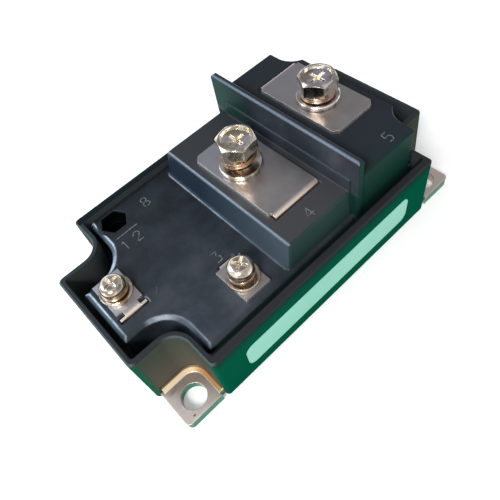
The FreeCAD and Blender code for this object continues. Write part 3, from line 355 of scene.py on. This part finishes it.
emitter_deck = cover.product(
    cover.remap(position["Z"], EMITTER_DECK_Z - 0.0002, EMITTER_DECK_Z),
    cover.remap(position["Z"], EMITTER_DECK_Z + 0.0004, EMITTER_DECK_Z + 0.0002))
emitter_grey = cover.blend(cover.remap(position["Y"], 0.018, -0.016),
                           (0.028, 0.032, 0.038), (0.046, 0.046, 0.051))
slate = cover.blend(emitter_deck, slate, emitter_grey)
collector_deck = cover.product(
    cover.remap(position["Z"], COLLECTOR_DECK_Z - 0.0008, COLLECTOR_DECK_Z - 0.0002),
    cover.remap(position["X"], WALL_FAR_X - 0.0004, WALL_FAR_X))
collector_grey = cover.blend(cover.remap(position["Y"], -0.017, -0.025),
                             (0.022, 0.026, 0.032), (0.020, 0.028, 0.032))
slate = cover.blend(collector_deck, slate, collector_grey)

# Painted light: the block faces turned to the near end get a bluish tone of their own, lighter
# towards the right.
facing_near = cover.remap(normal["X"], -0.5, -0.8)
block_face = cover.product(facing_near,
                           cover.remap(position["Z"], EMITTER_DECK_Z, EMITTER_DECK_Z - 0.001))
block_face_painted_light = cover.blend(cover.remap(position["Y"], 0.010, -0.022),
                         (0.011, 0.021, 0.036), (0.052, 0.072, 0.092))
slate = cover.blend(block_face, slate, block_face_painted_light)
# Painted shade: dark green on the wall's foot where it faces the near end, below the emitter deck.
wall_foot = cover.product(block_face, cover.remap(position["X"], 0.0, 0.004))
slate = cover.blend(wall_foot, slate, (0.010, 0.034, 0.029))
wall_face = cover.product(facing_near,
                          cover.remap(position["Z"], EMITTER_DECK_Z, EMITTER_DECK_Z + 0.0015))
# Painted green reflection on the left part of the wall's near face.
wall_left_reflection = cover.product(wall_face, cover.remap(position["Y"], 0.010, 0.026))
slate = cover.blend(wall_left_reflection, slate, (0.010, 0.050, 0.036))

# Painted green reflection on the cover's right side faces, darker past the wall.
right_side = cover.product(cover.remap(normal["Y"], -0.5, -0.85),
                           cover.remap(position["Y"], -0.0215, -0.0225))
side_green_reflection = cover.blend(cloud, (0.019, 0.046, 0.042), (0.030, 0.062, 0.058))
beyond_wall = cover.remap(position["X"], WALL_FAR_X - 0.0031, WALL_FAR_X - 0.0024)
side_green_reflection = cover.blend(beyond_wall, side_green_reflection, (0.007, 0.036, 0.026))
slate = cover.blend(right_side, slate, side_green_reflection)
# Painted shade: the inside of the empty nut pocket is near black.
from_pocket = cover.vector("DISTANCE", cover.flattened(cover.place), POCKET)
inside_pocket = cover.product(cover.remap(from_pocket, POCKET_REACH, POCKET_REACH - 0.0004),
                              cover.remap(position["Z"], DECK_Z - 0.0001, DECK_Z - 0.0006))
slate = cover.blend(inside_pocket, slate, (0.0015, 0.002, 0.002))

wall_root = cover.product(cover.remap(position["X"], 0.0110, 0.0120),
                          cover.remap(position["Z"], WALL_TOP - 0.00115, WALL_TOP - 0.00175))
left_or_high = cover.combine("MAXIMUM", cover.remap(position["Y"], -0.008, -0.003),
                             cover.remap(position["Z"], DECK_Z + 0.0010, DECK_Z + 0.0016))
block_cove = cover.product(cover.remap(position["X"], -0.0125, -0.0118),
                           cover.remap(position["Z"], DECK_Z + 0.0016, DECK_Z + 0.0010))
# Painted highlights: pale blue bands and a bright crest line on the rounded edges that face the near
# end, which are also made glossier.
highlight_zone = cover.product(cover.remap(edge_normal["Z"], 0.50, 0.70),
                       cover.remap(from_pocket, POCKET_REACH - 0.0002, POCKET_REACH),
                       cover.level(wall_root, 1.0, 0.1),
                       cover.level(left_or_high, 0.3, 1.0),
                       cover.level(block_cove, 1.0, 0.45))
bevel_highlight = cover.product(cover.remap(edge_normal["X"], -0.12, -0.30), highlight_zone)
slate = cover.blend(cover.product(bevel_highlight, cover.remap(cloud, 0.3, 0.7, 0.45, 0.85)),
                    slate, (0.125, 0.180, 0.240))
crest_highlight = cover.product(cover.remap(edge_normal["X"], -0.08, -0.18),
                      cover.remap(edge_normal["X"], -0.52, -0.42),
                      highlight_zone,
                      cover.remap(position["Z"], EMITTER_DECK_Z - 0.004, DECK_Z + 0.0006),
                      crest_breakup)
slate = cover.blend(crest_highlight, slate, (0.56, 0.70, 0.84))
# Painted highlight along the top edge of the wall.
wall_edge_highlight = cover.product(cover.remap(edge_normal["X"], -0.10, -0.30),
                          cover.remap(position["Z"], WALL_TOP - 0.00135, WALL_TOP - 0.00095),
                          highlight_zone)
slate = cover.blend(wall_edge_highlight, slate, (0.090, 0.115, 0.160))
dusty = cover.remap(dust, 0.66, 0.74, 0.0, 0.30)
cover.colour(cover.blend(dusty, slate, (0.09, 0.10, 0.10)))

low_deck = cover.remap(position["Z"], DECK_Z + 0.0006, DECK_Z + 0.0002)
dull = cover.combine(
    "ADD", right_side, inside_pocket, collector_deck, wall_foot,
    cover.product(block_face, cover.remap(position["Y"], -0.020, 0.0, 0.0, 0.5)),
    cover.product(wall_face, cover.remap(position["Y"], -0.018, -0.004, 0.0, 0.9)),
    cover.product(low_deck, cover.remap(position["X"], -0.024, -0.014, 0.0, 0.5)),
    cover.product(emitter_deck, cover.remap(position["X"], 0.003, 0.011, 0.0, 0.5)))
satin = cover.remap(grain, 0.3, 0.7, 0.34, 0.48)
cover.roughness(cover.product(satin, cover.level(bevel_highlight, 1.0, 0.7)))
cover.specular(cover.product(cover.level(bevel_highlight, 0.24, 0.90), cover.level(dull, 1.0, 0.10)))
cover.bump(grain, 0.00002, 0.6)
cover.bump(cloud, 0.00010, 0.3)
dress(cover, "terminal_cover")


# Terminal numbers: plain numerals, a bar and a tick, moulded on the decks beside the terminals
# and the empty pocket. They stand a hair above the surface, in the same plastic, flecked with
# painted glints.
MARK_RISE = 0.00012
MARK_ROOT = 0.00002
STROKE_HALF = 0.04
TOP_TAPER = 0.97515
mark_plastic = Finish("moulded_mark", specular=0.4)
glint_noise = mark_plastic.noise(1500.0, 4.0)
# Painted glints: pale flecks scattered over the marks.
mark_plastic.colour(mark_plastic.blend(mark_plastic.remap(glint_noise, 0.35, 0.65),
                                       (0.035, 0.042, 0.045), (0.20, 0.21, 0.21)))
mark_plastic.roughness(mark_plastic.remap(glint_noise, 0.3, 0.7, 0.35, 0.50))
mark_plastic.bump(glint_noise, 0.00001)


def place_mesh(name, shape, finish):
    """Makes a built shape an object of the scene."""
    mesh = bpy.data.meshes.new(name)
    shape.to_mesh(mesh)
    shape.free()
    mesh.materials.append(finish.material)
    thing = bpy.data.objects.new(name, mesh)
    bpy.context.collection.objects.link(thing)
    return thing


def raise_mark(name, points, x, y, z, size):
    """Ribs from point to point of a mark, drawn in a box one unit high."""
    shape = bmesh.new()
    rise = Vector((0.0, 0.0, MARK_RISE / size))
    for start, end in zip(points, points[1:]):
        start = Vector((*start, 0.0))
        run = Vector((*end, 0.0)) - start
        side = Vector((-run.y, run.x, 0.0)).normalized() * STROKE_HALF
        foot = [start - side, start - side + run, start + side + run, start + side]
        middle = sum(foot, Vector()) / 4
        lower = [shape.verts.new(p) for p in foot]
        upper = [shape.verts.new(middle + (p - middle) * TOP_TAPER + rise) for p in foot]
        shape.faces.new(reversed(lower))
        shape.faces.new(upper)
        for i in range(4):
            j = (i + 1) % 4
            shape.faces.new((lower[i], lower[j], upper[j], upper[i]))
    mark = place_mesh(name, shape, mark_plastic)
    mark.data.transform(Matrix.Translation((x, y, z - MARK_ROOT)) @ Matrix.Scale(size, 4))
    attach(mark, "root")


ONE = [(-0.15, 0.8), (0.05, 1.0), (0.05, 0.0)]
TWO = [(-0.3, 0.75), (-0.1, 1.0), (0.2, 1.0), (0.3, 0.7), (-0.3, 0.0), (0.3, 0.0)]
THREE = [(-0.25, 1.0), (0.3, 1.0), (0.0, 0.6), (0.3, 0.35), (0.2, 0.0), (-0.3, 0.0)]
FOUR = [(0.15, 0.0), (0.15, 1.0), (-0.35, 0.3), (0.35, 0.3)]
FIVE = [(0.28, 1.0), (-0.24, 1.0), (-0.28, 0.55), (0.12, 0.6), (0.3, 0.32), (0.1, 0.0), (-0.3, 0.04)]
EIGHT = [(0.0, 0.52), (0.3, 0.36), (0.3, 0.14), (0.14, 0.0), (-0.14, 0.0), (-0.3, 0.14), (-0.3, 0.36),
         (0.0, 0.52), (0.24, 0.66), (0.24, 0.88), (0.12, 1.0), (-0.12, 1.0), (-0.24, 0.88),
         (-0.24, 0.66), (0.0, 0.52)]
BAR = [(-1.0, 0.0), (1.0, 0.0)]
TICK = [(-0.4, 0.0), (0.1, 0.3), (0.4, 0.9)]
raise_mark("number_8", EIGHT, -0.0215, 0.0203, DECK_Z, 0.0034)
raise_mark("number_1", ONE, -0.0344, 0.0120, DECK_Z, 0.0034)
raise_mark("number_2", TWO, -0.0301, 0.0120, DECK_Z, 0.0034)
raise_mark("number_bar", BAR, -0.0315, 0.0173, DECK_Z, 0.0038)
raise_mark("deck_tick", TICK, -0.0369, -0.0048, DECK_Z, 0.0016)
raise_mark("number_3", THREE, -0.0198, -0.0100, DECK_Z, 0.0032)
raise_mark("number_4", FOUR, 0.0020, -0.0228, EMITTER_DECK_Z, 0.0032)
raise_mark("number_5", FIVE, 0.0296, -0.0245, COLLECTOR_DECK_Z, 0.0032)


# Side label: a matt coated sticker, pale mint green and blank, stuck flush in its shallow
# recess on the right side of the case.
label_film = Finish("mint_sticker", specular=0.2)
fibre = label_film.noise(1400.0, 5.0)
shade = label_film.noise(45.0, 3.0)
label_film.colour(label_film.blend(shade, (0.25, 0.60, 0.47), (0.32, 0.68, 0.55)))
label_film.roughness(label_film.remap(fibre, 0.3, 0.7, 0.50, 0.65))
label_film.bump(fibre, 0.00001, 0.6)
dress(label_film, "side_label")


# Terminals: blanked and bent copper strip with a satin nickel plating, thin over the bends,
# where copper shows through. The plates lie on the decks and the legs go down through slots.
# Their cut edges carry a painted highlight, and each bend painted light and shade.
def lead_finish(name, bend_y, bend_side, plate_top, under, over):
    """Satin nickel, with a painted highlight on the cut edges and painted light and shade round the
    bend.
    """
    lead = Finish(name, metallic=1.0)
    brushed = lead.noise(1.0, 4.0, 0.6, lead.mapped(scale=(2600.0, 300.0, 900.0)))
    cloud = lead.noise(130.0, 5.0)
    position = lead.split(lead.place)
    flat = lead.without_sign(lead.split(lead.facing)["Z"])
    satin = lead.blend(lead.remap(cloud, 0.35, 0.68), (0.40, 0.37, 0.38), (0.50, 0.47, 0.47))
    satin = lead.blend(lead.remap(position["Y"], -0.006, 0.012, 0.0, 0.8), satin, (0.41, 0.41, 0.47))
    satin = lead.blend(lead.remap(position["X"], 0.013, 0.018, 0.0, 0.5), satin, (0.33, 0.30, 0.31))
    # Painted highlight: the cut edges are pale cream.
    satin = lead.blend(lead.remap(flat, 0.75, 0.55), satin, (0.98, 0.93, 0.88))
    past_bend = lead.product(lead.combine("SUBTRACT", position["Y"], bend_y), bend_side)
    at_bend = lead.product(lead.remap(past_bend, -0.0014, -0.0006),
                           lead.remap(position["Z"], plate_top - 0.0022, plate_top - 0.0012))
    # Painted light round the bend: the highlight on its flatter top, painted shade where it turns
    # down.
    lead.colour(lead.blend(at_bend, satin, lead.blend(lead.remap(flat, 0.30, 0.60), under, over)))
    lead.roughness(lead.remap(brushed, 0.25, 0.8, 0.36, 0.54))
    lead.eased(0.0002)
    lead.bump(brushed, 0.00002, 0.5)
    lead.bump(cloud, 0.00005, 0.3)
    return lead


# Each pair: the painted shade, then the painted highlight, for the bend.
COPPER_BEND = ((0.46, 0.29, 0.21), (1.0, 0.84, 0.74))
CREAM_BEND = ((0.60, 0.46, 0.36), (0.88, 0.75, 0.63))
for terminal, bend_side, tints in (("emitter", -1.0, COPPER_BEND), ("collector", 1.0, COPPER_BEND),
                                   ("base", 1.0, CREAM_BEND), ("auxiliary", -1.0, CREAM_BEND)):
    low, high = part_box(terminal + "_terminal")
    bend_y = high[1] if bend_side > 0 else low[1]
    lead = lead_finish(terminal + "_nickel", bend_y, bend_side, high[2], *tints)
    dress(lead, terminal + "_terminal")


# Fasteners: cold-headed steel bolts and screws with split spring washers, flat washers and
# captive nuts. Their bright nickel plating is warm in tone, with turned rings on flat faces,
# and carries painted reflections in dark and pale patches and a painted highlight round the recess.
RECESS_REACH = 0.0026


def fastener_finish(name, x, y, dark_reflection, pale_reflection, top_pale_reflection):
    """Bright warm nickel in painted dark and pale reflections, a painted highlight round the recess,
    and fine rings round the screw's own axis.
    """
    metal = Finish(name, metallic=1.0)
    scuff = metal.noise(420.0, 6.0, 0.7)
    reflection_patches = metal.noise(330.0, 1.0)
    centred = metal.mapped(location=(-x, -y, 0.0))
    rings = metal.node("ShaderNodeTexWave", wave_type="RINGS", rings_direction="Z")
    rings.inputs["Scale"].default_value = 900.0
    rings.inputs["Distortion"].default_value = 1.5
    metal.links.new(centred, rings.inputs["Vector"])
    flat = metal.remap(metal.split(metal.facing)["Z"], 0.9, 0.99)
    # Painted reflections: dark and pale patches on the sides, and dark and pale on the top faces.
    warm = metal.blend(metal.remap(reflection_patches, 0.46, 0.54), dark_reflection, pale_reflection)
    cool = metal.blend(metal.remap(reflection_patches, 0.36, 0.56), dark_reflection, top_pale_reflection)
    off_axis = metal.vector("LENGTH", metal.flattened(centred))
    # Painted highlight: cream on the rounded edges near the axis, round the recess.
    recess_highlight = metal.product(metal.remap(metal.split(metal.rounded(0.00045))["Z"], 0.985, 0.93),
                           metal.remap(off_axis, RECESS_REACH, RECESS_REACH - 0.0003))
    metal.colour(metal.blend(recess_highlight, metal.blend(flat, warm, cool), (1.0, 0.93, 0.82)))
    metal.roughness(metal.remap(scuff, 0.3, 0.75, 0.14, 0.34))
    metal.eased(0.00018)
    metal.bump(scuff, 0.00003, 0.5)
    metal.bump(metal.product(rings.outputs["Fac"], flat), 0.000006, 0.5)
    return metal


# Each set: dark painted reflection, pale painted reflection, pale painted reflection on top faces.
BRIGHT = ((0.44, 0.37, 0.27), (1.0, 0.91, 0.76), (0.72, 0.66, 0.69))
VIOLET = ((0.42, 0.36, 0.30), (1.0, 0.92, 0.80), (0.64, 0.58, 0.74))
DULL = ((0.40, 0.32, 0.24), (0.82, 0.73, 0.61), (0.66, 0.58, 0.52))
SPRING = ((0.66, 0.38, 0.19), (0.95, 0.74, 0.52), (0.60, 0.52, 0.46))
for terminal, kind, tones in (("emitter", "_bolt", BRIGHT), ("collector", "_bolt", VIOLET),
                              ("base", "_screw", DULL), ("auxiliary", "_screw", DULL)):
    low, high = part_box(terminal + kind)
    x = (low[0] + high[0]) / 2
    y = (low[1] + high[1]) / 2
    metal = fastener_finish(terminal + "_fastener_nickel", x, y, *tones)
    dress(metal, terminal + kind, terminal + "_flat_washer", terminal + "_nut")
    tinted = fastener_finish(terminal + "_spring_nickel", x, y, *SPRING)
    ridges = tinted.node("ShaderNodeTexWave", wave_type="BANDS", bands_direction="Z")
    ridges.inputs["Scale"].default_value = 520.0
    tinted.links.new(tinted.place, ridges.inputs["Vector"])
    tinted.bump(ridges.outputs["Fac"], 0.00006, 0.5)
    dress(tinted, terminal + "_spring_washer")


# Floor: a plain white sheet that the module stands on. It looks white to the camera and in
# reflections, whiter farther out, and keeps the module's soft shadow.
def seen_rays(wiring):
    """One for rays from the camera, a mirror or glass, and nought for the rest."""
    rays = wiring.node("ShaderNodeLightPath").outputs
    return wiring.combine("MAXIMUM", rays["Is Glossy Ray"], rays["Is Transmission Ray"],
                          rays["Is Camera Ray"])


FLOOR_HALF = 3.0
sheet = Finish("white_sheet")
sheet.feed(sheet.shader.inputs["Base Color"], (0.93, 0.93, 0.93))
sheet.feed(sheet.shader.inputs["Roughness"], 0.9)
sheet.feed(sheet.shader.inputs["Emission Color"], (1.0, 1.0, 1.0))
farther_out = sheet.remap(sheet.vector("LENGTH", sheet.place), 0.15, 0.9, 0.22, 0.8)
sheet.feed(sheet.shader.inputs["Emission Strength"], sheet.product(seen_rays(sheet), farther_out))
shape = bmesh.new()
bmesh.ops.create_grid(shape, x_segments=1, y_segments=1, size=FLOOR_HALF)
place_mesh("floor", shape, sheet)


# Light: a soft lamp high behind the camera and a cool window high at the near left. The pale
# room is darker overhead and on the far side, and looks white down at the horizon.
LAMP_AIM = Vector((0.0, 0.0, 0.02))
KEY_PLACE = LAMP_AIM + Vector((-5.3, -2.9, 6.05)).normalized() * 0.8
WINDOW_PLACE = Vector((-0.49, 0.577, 0.65))


def lamp(name, place, shape, size, power, colour):
    data = bpy.data.lights.new(name, "AREA")
    data.shape = shape
    data.size = size
    data.energy = power
    data.color = colour
    thing = bpy.data.objects.new(name, data)
    thing.location = place
    thing.rotation_euler = (LAMP_AIM - place).to_track_quat("-Z", "Y").to_euler()
    bpy.context.collection.objects.link(thing)


lamp("key", KEY_PLACE, "DISK", size=0.22, power=4.2, colour=(1.0, 0.98, 0.95))
lamp("window", WINDOW_PLACE, "SQUARE", size=0.38, power=3.8, colour=(0.70, 0.86, 1.0))

DARK_SIDE = (0.62, 0.32, 0.72)
world = bpy.data.worlds.new("pale_room")
bpy.context.scene.world = world
world.use_nodes = True
room = Wiring(world.node_tree)
background = room.nodes["Background"].inputs
room.feed(background["Color"], (0.96, 0.98, 1.0))
direction = room.node("ShaderNodeTexCoord").outputs["Generated"]
room_light = room.remap(room.vector("DOT_PRODUCT", direction, DARK_SIDE), -0.6, 1.0, 0.95, 0.34)
horizon = room.remap(room.split(direction)["Z"], 0.45, 0.20)
white_low = room.blend(horizon, room_light, 1.0, "FLOAT")
room.feed(background["Strength"], room.blend(seen_rays(room), room_light, white_low, "FLOAT"))

bpy.context.scene.view_settings.view_transform = "Standard"


# Camera: held close over the control end and a little to the right, looking down near the
# middle of the module, and turned about its own line of sight.
CAMERA_PLACE = Vector((-0.04839, -0.07451, 0.12442))
CAMERA_AIM = Vector((-0.01095, -0.01081, 0.01500))
CAMERA_ROLL = math.radians(-15.2)
CAMERA_LENS = 35.05
eye = bpy.data.cameras.new("camera")
eye.lens = CAMERA_LENS
eye.sensor_width = 36.0
eye.clip_start = 0.005
camera = bpy.data.objects.new("camera", eye)
look = (CAMERA_AIM - CAMERA_PLACE).to_track_quat("-Z", "Y").to_matrix()
camera.rotation_euler = (look @ Matrix.Rotation(CAMERA_ROLL, 3, "Z")).to_euler()
camera.location = CAMERA_PLACE
bpy.context.collection.objects.link(camera)
bpy.context.scene.camera = camera
